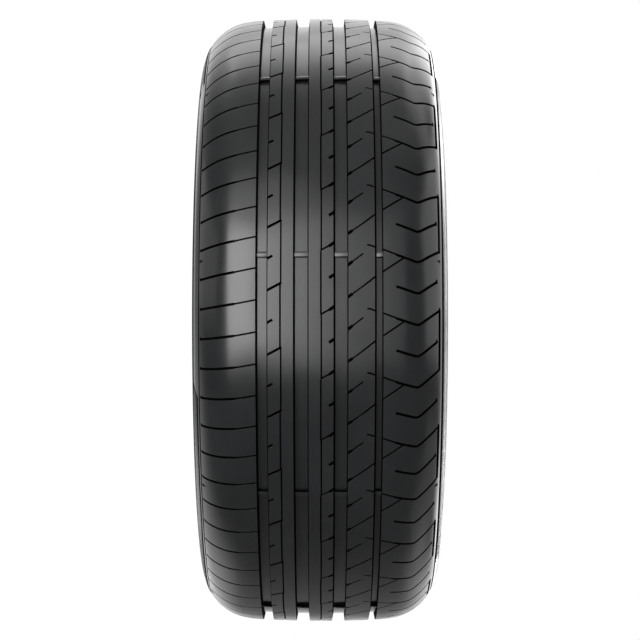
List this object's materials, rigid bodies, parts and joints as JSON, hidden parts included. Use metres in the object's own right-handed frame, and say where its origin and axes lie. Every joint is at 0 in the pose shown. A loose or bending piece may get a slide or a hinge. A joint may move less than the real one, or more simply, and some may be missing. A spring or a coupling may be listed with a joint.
{
  "type": "car tyre",
  "caption": "Low-profile radial car tyre with straight main grooves, slanted cross cuts and bead seats for an 18 inch rim.",
  "frame": {"origin": "centre of the tyre, on its axle line, midway between the sidewalls", "axes": "+Z along the axle line, towards the shoulder with the hooked cuts; the tyre lies on its other sidewall"},
  "size_m": [0.645, 0.645, 0.241],
  "materials": {
    "tread_rubber": "moulded rubber, semi-matt"
  },
  "bodies": {
    "root": {"tyre": "tread_rubber"}
  },
  "joints": []
}
